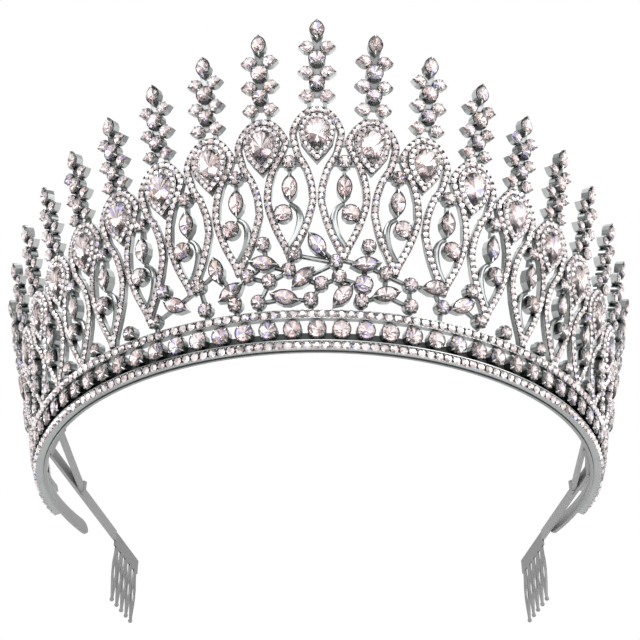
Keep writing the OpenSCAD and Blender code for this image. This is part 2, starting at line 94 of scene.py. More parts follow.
# Cut of the small stones, shares of their diameter
CHIP_TABLE, CHIP_TOP, CHIP_DEPTH = 0.48, 0.26, 0.34

# Claws, columns: distance past the seat's edge, height, radius; the end leans in over the stone
CLAW = [(0.44, PLATE_T - 0.3, 0.24), (0.5, GIRDLE - 0.1, 0.24), (0.36, GIRDLE + 0.2, 0.22)]
CLAW_END_AT, CLAW_END_R = GIRDLE + 0.38, 0.14
CLAW_LEAN, CLAW_LEAN_POINTED = 0.35, 0.6
PEAR_CLAWS, PEAR_CLAW_OUT, PEAR_CLAW_UP = (35, 90, 145, 212, 328), 2.75, 0.9
ROUND_CLAWS = (45, 135, 225, 315)

# Places on a spire and in a loop, as shares; columns as in the part's source
TIP_AT, ROUND_AT, ROUND_MID_AT = 0.905, 0.655, 0.445
LEAVES = [(0.335, 0.9), (0.54, 1), (0.76, 0.96)]
ARCH = [(0, 1), (0.27, 0.95), (0.56, 0.73), (0.78, 0.4), (0.875, 0.08)]
LEG = [
    (0.7, -0.09), (0.41, 0.05), (0.22, 0.22), (0.165, 0.4), (0.33, 0.58), (0.53, 0.72), (0.91, 0.92), (1, 1),
]
SCROLL = [
    (0, 0.42, 0.5), (-0.27, 0.48, 0.7), (-0.38, 0.6, 1),
    (-0.22, 0.75, 0.9), (0.06, 0.86, 0.7), (0.2, 0.93, 0.6),
]
LOOP_MARQUISE_AT, LOOP_ROUND_AT, LOOP_ROUND_SIDE = 0.265, 0.53, 0.25
# Flowers, columns: unit, share of the height to the middle loop's foot, tilt or share of size
FLOWER_MARQUISES = [
    (0, 1.16, 33), (-1.02, 0.97, 78), (-0.27, 0.79, -45), (-0.62, 0.575, 73), (-1.68, 0.69, -58),
    (-1.95, 0.96, 10), (0.5, 0.6, -38), (0.93, 0.955, -80), (1.34, 0.64, -72), (2.32, 0.8, -75),
    (-2.86, 0.67, 60), (2.94, 0.67, -60),
]
FLOWER_ROUNDS = [
    (-0.42, 1.06, 1), (0.36, 0.97, 1), (-1.02, 1.19, 1), (-0.54, 0.88, 1), (-0.92, 0.77, 1), (-1.33, 0.84, 1),
    (0.08, 0.72, 1), (0.42, 0.8, 1), (-0.12, 0.545, 1), (-1.14, 0.545, 1), (-1.6, 0.545, 1),
    (0.9, 0.73, 1.35), (0.98, 1.16, 1), (1.32, 0.87, 1), (0.86, 0.545, 1), (1.82, 0.78, 1),
    (1.84, 0.545, 1), (-2.34, 0.82, 1), (-2.22, 0.545, 1), (2.5, 0.6, 1), (-3.1, 0.86, 1),
    (3.1, 0.86, 1), (3.36, 0.56, 1), (-3.36, 0.56, 1),
]
TWIGS = [
    (0, 1.16, 0.36, 0.97), (0.36, 0.97, 0.42, 0.8), (-0.42, 1.06, 0.36, 0.97), (-0.42, 1.06, -0.54, 0.88),
    (-0.5, 1, -0.42, 1.06), (-0.54, 0.88, -0.92, 0.77), (-0.92, 0.77, -1.33, 0.84), (-0.27, 0.79, 0.08, 0.72),
    (-1.02, 0.97, -0.54, 0.88), (-1.02, 0.97, -1.33, 0.84), (-0.27, 0.79, 0.36, 0.97),
    (0.08, 0.72, 0.42, 0.8), (0.08, 0.72, -0.12, 0.545), (-0.12, 0.545, -0.62, 0.575),
    (-0.62, 0.575, -1.14, 0.545), (-0.92, 0.77, -1.14, 0.545), (0.42, 0.8, 0.5, 0.6), (0.42, 0.8, 0.9, 0.73),
    (0.9, 0.73, 0.93, 0.955), (0.5, 1, 0.93, 0.955), (0.93, 0.955, 1.32, 0.87), (1.32, 0.87, 1.34, 0.64),
    (0.86, 0.545, 1.34, 0.64), (0.9, 0.73, 0.86, 0.545), (1.32, 0.87, 1.82, 0.78), (1.82, 0.78, 1.84, 0.545),
    (1.34, 0.64, 1.84, 0.545), (-1.33, 0.84, -1.68, 0.69), (-1.68, 0.69, -1.6, 0.545),
    (-1.95, 0.96, -1.68, 0.69), (-1.95, 0.96, -2.34, 0.82), (-2.34, 0.82, -2.22, 0.545),
    (1.82, 0.78, 2.32, 0.8), (2.32, 0.8, 2.5, 0.6), (2.5, 0.6, 2.94, 0.67), (-2.34, 0.82, -2.86, 0.67),
    (-2.86, 0.67, -3.1, 0.86), (2.94, 0.67, 3.1, 0.86), (2.94, 0.67, 3.36, 0.56), (-2.86, 0.67, -3.36, 0.56),
    (-0.98, 1.02, -1.02, 1.19), (0.96, 1, 0.98, 1.16),
]
# Flower stones lower than this share stand on a post from the band
LOW_FLOWER = 0.65
BASE_ROUNDS = [side * k for k in range(4, 9) for side in (-1, 1)]
BASE_ROUND_RISE = RAIL_H / 2 + ROUND_SMALL_D / 2 + STONE_GAP + CUP_WALL + 0.3

SPIRES = range(-SIDE_SPIRES, SIDE_SPIRES + 1)
LOOPS = [k + 0.5 for k in range(-SIDE_SPIRES, SIDE_SPIRES)]

# Colours that the facets of a stone pick from, with how often: the lighter pinks and the champagne are the
# stone's own tint, the darker pink and the near-black are painted shade, the white is a painted highlight and
# the blue a painted glint
FACET_TINTS_AND_PAINTED_LIGHT = [
    ((1, 0.96, 0.96), 38), ((0.88, 0.77, 0.76), 27), ((0.66, 0.56, 0.56), 16), ((0.27, 0.225, 0.23), 10),
    ((0.86, 0.72, 0.6), 3), ((0.54, 0.54, 0.92), 4),
]
CHIP_TINTS_AND_PAINTED_LIGHT = [
    ((0.98, 0.93, 0.93), 34), ((0.84, 0.74, 0.73), 26), ((0.6, 0.51, 0.51), 18), ((0.3, 0.26, 0.26), 16),
    ((0.6, 0.6, 0.88), 2),
]
# The flat top of a small stone: its pink is the stone's own tint, its white a painted highlight and its
# darker tones painted shade
CHIP_TOP_TINTS_AND_PAINTED_LIGHT = [
    ((1, 0.97, 0.97), 34), ((0.86, 0.76, 0.75), 32), ((0.66, 0.57, 0.56), 22), ((0.4, 0.34, 0.34), 10),
]


# Places
def wall_r(v, w=0):
    return RING_R + v * math.sin(FLARE) + w * math.cos(FLARE)


def half_w(v):
    return wall_r(v) * math.tan(UNIT_PITCH / 2)


def pear_v(k):
    s = abs(k) / SIDE_SPIRES
    swell = PEAR_RISE_SWELL * math.sin(math.pi * min(s, 1))
    return PEAR_RISE_MID + (PEAR_RISE_END - PEAR_RISE_MID) * s + swell


def rise(k):
    return SPIRE_RISE_MID + (SPIRE_RISE_END - SPIRE_RISE_MID) * min(1, abs(k) / SPIRE_RISE_SPAN)


def apex_v(j):
    return (pear_v(j - 0.5) + pear_v(j + 0.5)) / 2 - LOOP_DROP


def loop_l(j):
    return max(0, apex_v(j) - max(RAIL_TOP + 0.6, apex_v(j) - LOOP_LEN))


def loop_at(j, share):
    return apex_v(j) - share * loop_l(j)


def flower_v(share):
    return share * (apex_v(0.5) - loop_l(0.5))


def side_of(k):
    return -1 if k < 0 else 1


def on_wall(k, v=0, w=0, turn=0.0, u=0):
    """Placement of a flat shape in mm: unit number, height, distance out, turn, shift sideways."""
    return (
        Matrix.Scale(MM, 4)
        @ Matrix.Rotation(k * UNIT_PITCH, 4, "Z")
        @ Matrix.Translation((0, -RING_R, 0))
        @ Matrix.Rotation(math.pi / 2 + FLARE, 4, "X")
        @ Matrix.Translation((u, v, w))
        @ Matrix.Rotation(turn, 4, "Z")
    )


def along(heading):
    """Turn of a flat shape so that its X follows a heading."""
    return Matrix.Rotation(math.atan2(heading.y, heading.x), 4, "Z")


# Lines
def between(p, q, r, s, t):
    """Value at a share t of the way from q to r, on a smooth line through all four."""
    square, cube = 2 * p - 5 * q + 4 * r - s, 3 * q - p - 3 * r + s
    return 0.5 * (2 * q + (r - p) * t + square * t * t + cube * t ** 3)


def smooth(points, n):
    """Points of a smooth line through the given ones, n to a stretch."""
    line = []
    for i in range(len(points) - 1):
        around = [points[max(0, min(len(points) - 1, i + s))] for s in (-1, 0, 1, 2)]
        line += [tuple(between(*four, j / n) for four in zip(*around)) for j in range(n)]
    return line + [tuple(points[-1])]


def headings(line, closed=False):
    """Unit direction of a flat line at each of its points."""
    n = len(line)
    found = []
    for i in range(n):
        a = line[(i - 1) % n] if closed else line[max(i - 1, 0)]
        b = line[(i + 1) % n] if closed else line[min(i + 1, n - 1)]
        found.append((Vector(b[:2]) - Vector(a[:2])).normalized())
    return found


def evenly(line, pitch, first=0.5):
    """Places about a pitch apart on a flat line, with directions; the first is so many pitches in."""
    lengths = [0]
    for a, b in zip(line, line[1:]):
        lengths.append(lengths[-1] + math.dist(a[:2], b[:2]))
    count = max(1, round(lengths[-1] / pitch))
    places = []
    for i in range(count):
        s = (i + first) * lengths[-1] / count
        j = max(q for q in range(len(line) - 1) if lengths[q] <= s)
        t = (s - lengths[j]) / max(1e-9, lengths[j + 1] - lengths[j])
        a, b = Vector(line[j][:2]), Vector(line[j + 1][:2])
        places.append((a.lerp(b, t), (b - a).normalized()))
    return places


def grown(outline, by):
    """A closed outline moved out by a distance."""
    return [(p[0] + by * h.y, p[1] - by * h.x) for p, h in zip(outline, headings(outline, closed=True))]


def leg_line(k, side):
    """Centre line of the strand from an arch's crown down one side of a unit to the loop's foot."""
    j, p = k + side / 2, pear_v(k)
    touch = apex_v(j) + LINK_AT
    points = [(a * half_w(p), p + b * ARCH_OVER) for a, b in ARCH if p + b * ARCH_OVER > touch + 1]
    points.append((half_w(touch) - STRAND_W / 2 - (LINK_W if p > touch + 1 else 0), touch))
    points += [(a * half_w(loop_at(j, b)), loop_at(j, b)) for a, b in LEG]
    return [(side * u, max(v, RAIL_TOP)) for u, v in points]


# Outlines of the stones, anticlockwise; an even number of corners for the cut
def round_outline(d, n=16):
    return [(d / 2 * math.cos(math.tau * i / n), d / 2 * math.sin(math.tau * i / n)) for i in range(n)]


def marquise_outline(w, length, n=8):
    half = []
    for i in range(n):
        y = -1 + 2 * i / n
        half.append((w / 2 * (1 - y * y) ** MARQUISE_POWER, y * length / 2))
    return half + [(-x, -y) for x, y in half]


def pear_outline(w, length, tip=0, n=14):
    r = w / 2
    c = length / 2 - r
    d = c + length / 2
    arc = [PEAR_ARC_START + (math.pi - 2 * PEAR_ARC_START) * i / n for i in range(n + 1)]
    right = [(r * out, c - d * down) for out, down in PEAR_FLANK]
    left = [(-x, y) for x, y in right[::-1]]
    return [(0, -length / 2 - tip)] + right + [(r * math.cos(a), c + r * math.sin(a)) for a in arc] + left


def leaf_outline(r, reach, n=22):
    a = math.acos(r / reach)
    arc = [a + (math.tau - 2 * a) * i / n for i in range(n + 1)]
    return [(reach, 0)] + [(r * math.cos(b), r * math.sin(b)) for b in arc]


# Shapes
class Shape:
    """A small shape in mm: corners, and faces as (corner numbers, material number)."""

    def __init__(self):
        self.corners, self.faces = [], []

    def ring(self, points):
        first = len(self.corners)
        self.corners += [Vector(p) for p in points]
        return list(range(first, len(self.corners)))

    def face(self, numbers, material=0):
        self.faces.append((tuple(numbers), material))

    def skirt(self, upper, lower, closed=True):
        """Faces between two rings of corners, seen from outside with the upper one on top."""
        n = len(upper)
        for i in range(n if closed else n - 1):
            j = (i + 1) % n
            self.face((upper[i], lower[i], lower[j], upper[j]))


def cut_stone(outline, top=STONE_TOP, depth=STONE_DEPTH):
    """A stone cut with table, star, kite and girdle facets above, and a ring of facets below."""
    s = Shape()
    n = len(outline)
    m = n // 2

    def scaled(share, z, numbers):
        return s.ring([(outline[i % n][0] * share, outline[i % n][1] * share, z) for i in numbers])

    t = scaled(TABLE, top, range(0, n, 2))
    k = scaled((1 + TABLE) / 2 + 0.05, 0.52 * top, range(1, n, 2))
    g = scaled(1, GIRDLE_H / 2, range(n))
    h = scaled(1, -GIRDLE_H / 2, range(n))
    c = s.ring([(0, 0, -depth)])[0]
    s.face(t)
    for i in range(m):
        j = (i + 1) % m
        s.face((t[i], k[i], t[j]))
        s.face((t[i], k[i - 1], g[2 * i], k[i]))
        s.face((k[i], g[2 * i], g[2 * i + 1]))
        s.face((k[i], g[2 * i + 1], g[(2 * i + 2) % n]))
        s.face((c, h[(2 * i + 1) % n], h[2 * i]), 1)
        s.face((c, h[(2 * i + 2) % n], h[2 * i + 1]), 1)
    s.skirt(g, h)
    return s


def small_stone(d, n=8):
    """A small round stone: table, one row of crown facets and one of pavilion facets."""
    s = Shape()
    edge = round_outline(d, n)
    t = s.ring([(x * CHIP_TABLE, y * CHIP_TABLE, CHIP_TOP * d) for x, y in edge])
    g = s.ring([(x, y, 0) for x, y in edge])
    c = s.ring([(0, 0, -CHIP_DEPTH * d)])[0]
    s.face(t)
    s.skirt(t, g)
    for i in range(n):
        s.face((c, g[(i + 1) % n], g[i]))
    return s


def tube(points, radii, sides=10):
    """A bar through points in mm, with a radius at each; its ends are closed with a low cone."""
    s = Shape()
    points = [Vector(p) for p in points]
    rings = []
    across = None
    for i, p in enumerate(points):
        d = (points[min(i + 1, len(points) - 1)] - points[max(i - 1, 0)]).normalized()
        if across is None:
            across = d.orthogonal().normalized()
        across = (across - d * across.dot(d)).normalized()
        up = d.cross(across)
        rings.append(s.ring([
            p + radii[i] * (math.cos(a) * across + math.sin(a) * up)
            for a in (math.tau * q / sides for q in range(sides))
        ]))
    for a, b in zip(rings, rings[1:]):
        s.skirt(b, a)
    first, last = points[1] - points[0], points[-1] - points[-2]
    low = s.ring([points[0] - first.normalized() * radii[0] * 0.6])[0]
    high = s.ring([points[-1] + last.normalized() * radii[-1] * 0.6])[0]
    for i in range(sides):
        j = (i + 1) % sides
        s.face((low, rings[0][j], rings[0][i]))
        s.face((high, rings[-1][i], rings[-1][j]))
    return s


def claw(out, lean=CLAW_LEAN):
    """A bent claw along X that holds a stone whose seat reaches out that far."""
    points = [(out + past, 0, w) for past, w, _ in CLAW] + [(out - lean, 0, CLAW_END_AT)]
    return tube(points, [r for _, _, r in CLAW] + [CLAW_END_R], sides=7)


def bead(r, height, sides=6):
    """A low dome."""
    s = Shape()
    turns = [math.tau * i / sides for i in range(sides)]
    lower = s.ring([(r * math.cos(a), r * math.sin(a), 0) for a in turns])
    upper = s.ring([(0.68 * r * math.cos(a), 0.68 * r * math.sin(a), 0.75 * height) for a in turns])
    top = s.ring([(0, 0, height)])[0]
    s.skirt(upper, lower)
    for i in range(sides):
        s.face((top, upper[i], upper[(i + 1) % sides]))
    return s


def rim(outline, wall, low, high, bevel=0.12):
    """A wall round an outline, open inside, with a rounded top."""
    s = Shape()
    steps = [
        (wall, low), (wall, high - bevel), (wall * 0.72, high),
        (wall * 0.28, high), (0, high - bevel), (0, low),
    ]
    rings = [s.ring([(x, y, z) for x, y in grown(outline, by)]) for by, z in steps]
    for a, b in zip(rings, rings[1:]):
        s.skirt(b, a)
    return s


def rib(line, offset, width, low, high, bevel=0.07):
    """A low wall beside a flat line: its distance to the left of the line, width, and heights."""
    s = Shape()
    turned = [Vector((-h.y, h.x)) for h in headings(line)]
    steps = [
        (width / 2, low), (width / 2, high - bevel), (0.2 * width, high),
        (-0.2 * width, high), (-width / 2, high - bevel), (-width / 2, low),
    ]
    rings = []
    for by, z in steps:
        rings.append(s.ring([
            (p[0] + (offset + by) * t.x, p[1] + (offset + by) * t.y, z) for p, t in zip(line, turned)
        ]))
    for a, b in zip(rings, rings[1:]):
        s.skirt(a, b, closed=False)
    s.face([r[0] for r in rings][::-1])
    s.face([r[-1] for r in rings])
    return s


def bow(v, half_h, low, high, steps=90):
    """A square rail round the wall from end to end at one height, between two distances out."""
    s = Shape()
    turns = [RAIL_END / UNIT_PITCH * (q / steps - 1) for q in range(2 * steps + 1)]
    rings = []
    for by, w in ((-half_h, low), (-half_h, high), (half_h, high), (half_h, low)):
        rings.append(s.ring([on_wall(k, v + by, w).translation / MM for k in turns]))
    for a, b in zip(rings, rings[1:]):
        s.skirt(b, a, closed=False)
    return s


class Pile:
    """Many small shapes joined into one piece; each face draws a tint, which on the stones carries painted
    highlights, shade and glints, a shape's first face its own kind.
    """

    def __init__(self, name, materials, slot, tints_and_painted_light=FACET_TINTS_AND_PAINTED_LIGHT, top_tints_and_painted_light=FACET_TINTS_AND_PAINTED_LIGHT):
        self.name, self.materials, self.slot = name, materials, slot
        self.palette, self.shares = [t for t, _ in tints_and_painted_light], [c for _, c in tints_and_painted_light]
        self.top_palette, self.top_shares = [t for t, _ in top_tints_and_painted_light], [c for _, c in top_tints_and_painted_light]
        self.corners, self.faces, self.kinds, self.tints_and_painted_light = [], [], [], []

    def add(self, shape, place):
        first = len(self.corners)
        self.corners += [place @ c for c in shape.corners]
        tints_and_painted_light = chance.choices(self.palette, self.shares, k=len(shape.faces))
        tints_and_painted_light[0] = chance.choices(self.top_palette, self.top_shares)[0]
        for (numbers, kind), tint_and_painted_light in zip(shape.faces, tints_and_painted_light):
            self.faces.append([first + i for i in numbers])
            self.kinds.append(kind)
            self.tints_and_painted_light.append(tint_and_painted_light)

    def build(self, stands_for=()):
        mesh = bpy.data.meshes.new(self.name)
        mesh.from_pydata(self.corners, [], self.faces)
        for m in self.materials:
            mesh.materials.append(m)
        mesh.polygons.foreach_set("material_index", self.kinds)
        tint_and_painted_light = mesh.color_attributes.new("tint_and_painted_light", "FLOAT_COLOR", "CORNER")
        colours = [c for face, t in zip(self.faces, self.tints_and_painted_light) for _ in face for c in (*t, 1)]
        tint_and_painted_light.data.foreach_set("color", colours)
        mesh.update()
        piece = bpy.data.objects.new(self.name, mesh)
        bpy.context.scene.collection.objects.link(piece)
        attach(piece, "root")
        if stands_for:
            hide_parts(*stands_for)


def metal_pile(name, material):
    return Pile(name, [material], "plated_metal")


def chip_pile(name):
    return Pile(name, [chip], "clear_stone", CHIP_TINTS_AND_PAINTED_LIGHT, CHIP_TOP_TINTS_AND_PAINTED_LIGHT)


# Materials
def add_node(tree, kind, inputs=(), **settings):
    """A new node with its settings and inputs; an input is a value or another node's output."""
    node = tree.nodes.new("ShaderNode" + kind)
    for name, value in settings.items():
        setattr(node, name, value)
    set_inputs(tree, node, inputs)
    return node


def set_inputs(tree, node, inputs):
    for name, value in dict(inputs).items():
        if isinstance(value, bpy.types.NodeSocket):
            tree.links.new(value, node.inputs[name])
        else:
            node.inputs[name].default_value = value


def reckon(tree, operation, *terms):
    """Output of a sum on terms that are numbers or outputs."""
    return add_node(tree, "Math", enumerate(terms), operation=operation).outputs[0]


def spread(tree, value, low, high):
    """Output that runs from low to high as a value runs from 0 to 1."""
    return add_node(tree, "MapRange", {"Value": value, "To Min": low, "To Max": high}).outputs["Result"]


def mixed(tree, kind, share, a, b):
    """Output between two colours (RGBA) or numbers (FLOAT)."""
    return add_node(tree, "Mix", {"Factor": share, "A": a, "B": b}, data_type=kind).outputs["Result"]


def noise(tree, scale, **more):
    """Output of specks or clouds fixed to the piece."""
    inputs = {"Vector": add_node(tree, "TexCoord").outputs["Object"], "Scale": scale, **more}
    return add_node(tree, "TexNoise", inputs).outputs["Fac"]


def new_material(name, **inputs):
    """A material and its tree; inputs of the main shader are given by name, with _ for a space."""
    material = bpy.data.materials.new(name)
    material.use_nodes = True
    named = {key.replace("_", " "): value for key, value in inputs.items()}
    set_inputs(material.node_tree, material.node_tree.nodes["Principled BSDF"], named)
    return material, material.node_tree


def stone_with_painted_facet_light(name, scale, smoothest, roughest, **inputs):
    """A stone whose facets take their colours from the faces' drawn tints: the stone's own pink with painted
    highlights, shade and glints; dulled in fine specks.
    """
    material, tree = new_material(name, **inputs)
    set_inputs(tree, tree.nodes["Principled BSDF"], {
        "Base Color": add_node(tree, "Attribute", attribute_name="tint_and_painted_light").outputs["Color"],
        "Roughness": spread(tree, noise(tree, scale), smoothest, roughest),
    })
    return material


def strip_places(tree):
    """Outputs, 0 or 1: on the frame's plain strip, and where the band's rows cover its outer face, which gets
    painted shade.
    """
    place = add_node(tree, "TexCoord").outputs["Object"]
    x, y, z = add_node(tree, "SeparateXYZ", {"Vector": place}).outputs
    squares = reckon(tree, "ADD", reckon(tree, "MULTIPLY", x, x), reckon(tree, "MULTIPLY", y, y))
    wall_back = reckon(tree, "MULTIPLY_ADD", z, math.tan(FLARE), RING_R * MM)
    past = reckon(tree, "SUBTRACT", reckon(tree, "SQRT", squares), wall_back)
    # The strip, the arms and the braces lie nearer to the ring's axis than the openwork's back
    inside = reckon(tree, "LESS_THAN", past, -0.2 * MM)
    # The strip's outer face lies close under the openwork's back and looks away from the axis
    normal = add_node(tree, "NewGeometry").outputs["Normal"]
    away = add_node(tree, "VectorMath", {0: normal, 1: place}, operation="DOT_PRODUCT").outputs["Value"]
    outward = reckon(tree, "GREATER_THAN", away, 0.5 * RING_R * MM)
    outer = reckon(tree, "MULTIPLY", outward, reckon(tree, "COMPARE", past, -0.07 * MM, 0.06 * MM))
    by_rows = reckon(tree, "LESS_THAN", y, -RING_R * math.cos(RAIL_END) * MM)
    return reckon(tree, "MAXIMUM", inside, outer), reckon(tree, "MULTIPLY", outer, by_rows)


def plated_metal(name, light, painted_shade, rough, plain_strip=False):
    """Silver-tone plating: duller and darker in corners with painted shade, uneven polish, and a matte strip
    inside the band, with painted shade where the band's rows cover its outer face.
    """
    material, tree = new_material(name, Metallic=1)
    cloud = noise(tree, 150, Detail=4)
    fine = noise(tree, 900, Detail=3)
    # Painted shade: the colour darkens to the second colour in corners that ambient occlusion finds
    corner = add_node(tree, "AmbientOcclusion", {"Distance": 2 * MM}, samples=6).outputs["AO"]
    open_to = add_node(tree, "MapRange", {"Value": corner, "From Min": 0.25, "From Max": 0.95})
    colour = mixed(tree, "RGBA", open_to.outputs["Result"], (*painted_shade, 1), (*light, 1))
    uneven = {"Value": spread(tree, cloud, 0.86, 1.1), "Color": colour}
    colour = add_node(tree, "HueSaturation", uneven).outputs["Color"]
    polish = spread(tree, cloud, rough * 0.7, rough * 1.4)
    if plain_strip:
        strip, shaded_behind_rows = strip_places(tree)
        # Painted shade: where the band's rows cover the strip's outer face it is painted dark grey; elsewhere
        # the strip is plain matte grey
        strip_colour = mixed(tree, "RGBA", shaded_behind_rows, (0.42, 0.425, 0.42, 1), (0.13, 0.135, 0.133, 1))
        colour = mixed(tree, "RGBA", strip, colour, strip_colour)
        polish = mixed(tree, "FLOAT", strip, polish, 0.6)
    bumps = {"Strength": 0.12, "Distance": 0.05 * MM, "Height": fine}
    grain = add_node(tree, "Bump", bumps).outputs["Normal"]
    shader = tree.nodes["Principled BSDF"]
    set_inputs(tree, shader, {"Base Color": colour, "Roughness": polish, "Normal": grain})
    return material


# Clear crystal, faintly pink, on a silvered back; small stones are opaque and bright
crystal, _ = new_material(
    "crystal", Base_Color=(1, 0.965, 0.965, 1), Roughness=0.0, IOR=1.56, Transmission_Weight=1,
)
# The foil's and the small stones' colours come from the faces' tints, which paint highlights, shade and
# glints on the facets
foil = stone_with_painted_facet_light("crystal_foil", 2200, 0.05, 0.2, Metallic=1)
chip = stone_with_painted_facet_light("crystal_chip", 1500, 0.04, 0.26, Metallic=0.72, Coat_Weight=0.6, Coat_Roughness=0.02)
# The second colour of each plating is its painted shade in corners
frame_metal = plated_metal("frame_metal", (0.46, 0.48, 0.475), (0.1, 0.11, 0.107), 0.18, plain_strip=True)
bright_metal = plated_metal("bright_metal", (0.56, 0.58, 0.575), (0.11, 0.12, 0.117), 0.16)
polished_metal = plated_metal("polished_metal", (0.36, 0.38, 0.375), (0.1, 0.108, 0.106), 0.14)
comb_metal = plated_metal("comb_metal", (0.33, 0.335, 0.33), (0.17, 0.175, 0.17), 0.5)

for name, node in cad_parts.items():
    node.data.materials.clear()
    node.data.materials.append(comb_metal if name.startswith("comb") else frame_metal)

claws = metal_pile("claws", bright_metal)


# Main stones, finer cut, in the place of their nodes
def gems(name, placed_cuts, node):
    pile = Pile(name, [crystal, foil], "clear_stone")
    for shape, place in placed_cuts:
        pile.add(shape, place)
    pile.build([node])


def round_field(name, spots, node):
    """Round stones with four claws each; spots are (unit, height, diameter, shift sideways)."""
    placed = []
    for k, v, d, u in spots:
        cut = cut_stone(round_outline(d + 2 * OVERHANG))
        placed.append((cut, on_wall(k, v, GIRDLE, chance.uniform(-0.3, 0.3), u)))
        for angle in ROUND_CLAWS:
            claws.add(claw(d / 2), on_wall(k, v, 0, math.radians(angle), u))
    gems(name, placed, node)


def marquise_field(name, spots, node):
    """Marquise stones with a claw at each point; spots are (unit, height, length, turn)."""
    placed = []
    for k, v, length, turn in spots:
        cut = cut_stone(marquise_outline(MARQUISE_W + 2 * OVERHANG, length + 2 * OVERHANG))
        placed.append((cut, on_wall(k, v, GIRDLE, turn)))
        for end in (90, 270):
            claws.add(claw(length / 2, CLAW_LEAN_POINTED), on_wall(k, v, 0, turn + math.radians(end)))
    gems(name, placed, node)


pear_cut = cut_stone(grown(pear_outline(PEAR_W, PEAR_LEN), PEAR_OVERHANG), top=PEAR_TOP)
for k in SPIRES:
    label = "mid" if k == 0 else f"{'left' if k < 0 else 'right'}_{abs(k)}"
    gems(f"pear_gem_{label}", [(pear_cut, on_wall(k, pear_v(k), GIRDLE))], f"pear_stone_{label}")
    for angle in PEAR_CLAWS:
        claws.add(claw(PEAR_CLAW_OUT), on_wall(k, pear_v(k) + PEAR_CLAW_UP, 0, math.radians(angle)))

# Short loops near the ends hold fewer stones
marquise_loops = [j for j in LOOPS if loop_l(j) > 0.4 * LOOP_LEN]
scroll_loops = [j for j in LOOPS if loop_l(j) > 0.6 * LOOP_LEN]
top_loops = [j for j in LOOPS if loop_l(j) > 0.15 * LOOP_LEN]

marquise_field(
    "spire_tip_gems", [(k, pear_v(k) + TIP_AT * rise(k), TIP_MARQUISE_LEN, 0) for k in SPIRES],
    "spire_tip_stones",
)
spire_rounds = ((ROUND_AT, ROUND_D), (ROUND_MID_AT, ROUND_MID_D))
round_field(
    "spire_round_gems", [(k, pear_v(k) + at * rise(k), d, 0) for k in SPIRES for at, d in spire_rounds],
    "spire_round_stones",
)
round_field("loop_top_gems", [(j, apex_v(j), ROUND_SMALL_D, 0) for j in top_loops], "loop_top_stones")
marquise_field(
    "loop_marquise_gems",
    [
        (j, loop_at(j, LOOP_MARQUISE_AT), MARQUISE_LEN * min(1, loop_l(j) / LOOP_LEN + 0.1), 0)
        for j in marquise_loops
    ],
    "loop_marquise_stones",
)
round_field(
    "loop_round_gems",
    [
        (j, loop_at(j, LOOP_ROUND_AT), ROUND_D, side_of(j) * LOOP_ROUND_SIDE * half_w(apex_v(j)))
        for j in scroll_loops
    ],
    "loop_round_stones",
)
round_field(
    "flower_round_gems", [(k, flower_v(v), s * ROUND_SMALL_D, 0) for k, v, s in FLOWER_ROUNDS],
    "flower_round_stones",
)
marquise_field(
    "flower_marquise_gems",
    [(k, flower_v(v), MARQUISE_LEN, math.radians(t)) for k, v, t in FLOWER_MARQUISES],
    "flower_marquise_stones",
)
round_field(
    "base_round_gems", [(k, RAIL_TOP + BASE_ROUND_RISE, ROUND_SMALL_D, 0) for k in BASE_ROUNDS],
    "base_round_stones",
)

band_step = BAND_STONE_PITCH / wall_r(RAIL_MID, PLATE_T) / UNIT_PITCH
band_count = math.floor(2 * (RAIL_END - BAND_END_MARGIN) / (band_step * UNIT_PITCH))
band_units = [(i - (band_count - 1) / 2) * band_step for i in range(band_count)]
for side, name in ((-1, "left"), (1, "right")):
    ours = [k for k in band_units if (k < -0.001) == (side < 0)]
    round_field(f"band_gems_{name}", [(k, RAIL_MID, ROUND_D, 0) for k in ours], f"band_stones_{name}")
claws.build()

# Small stones on the strands, in raised edges with beads between the stones
strand_gems = chip_pile("strand_gems")
strand_edges = metal_pile("strand_edges", bright_metal)
strand_beads = metal_pile("strand_beads", bright_metal)
strand_stone, strand_seat = small_stone(STRAND_STONE_D), PLATE_T + 0.3
strand_bead, strand_bead_out, strand_bead_foot = bead(0.22, 0.34), 0.66, PLATE_T + 0.15
strand_edge_out, strand_edge_w = STRAND_W / 2 - 0.02, 0.1
strand_edge_foot, strand_edge_top = PLATE_T - 0.3, PLATE_T + 0.12
for k in SPIRES:
    flat = on_wall(k)
    for side in (-1, 1):
        line = smooth(leg_line(k, side), 5)
        for spot, heading in evenly(line, STRAND_STONE_PITCH):
            strand_gems.add(strand_stone, flat @ Matrix.Translation((*spot, strand_seat)) @ along(heading))
            for out in (-strand_bead_out, strand_bead_out):
                at = spot + heading * STRAND_STONE_PITCH / 2 + Vector((-heading.y, heading.x)) * out
                strand_beads.add(strand_bead, flat @ Matrix.Translation((*at, strand_bead_foot)))
        for left in (-1, 1):
            edge = rib(line, left * strand_edge_out, strand_edge_w, strand_edge_foot, strand_edge_top)
            strand_edges.add(edge, flat)
strand_gems.build()
strand_edges.build()
strand_beads.build()

# Halo of small stones round each pear
halo_gems = chip_pile("halo_gems")
halo_metal = metal_pile("halo_metal", bright_metal)
halo_stone, halo_seat = small_stone(HALO_STONE_D), CUP_TOP - 0.1
halo_bead, halo_bead_out, halo_bead_foot = bead(0.2, 0.3), 0.52, CUP_TOP - 0.25
halo_out = HALO_W - 0.08 - HALO_STONE_D / 2
pear = pear_outline(PEAR_W, PEAR_LEN, HALO_TIP)
halo_rim = rim(grown(pear, HALO_W - 0.3), 0.32, PLATE_T - 0.3, CUP_TOP - 0.2)
halo_line = grown(pear, halo_out)
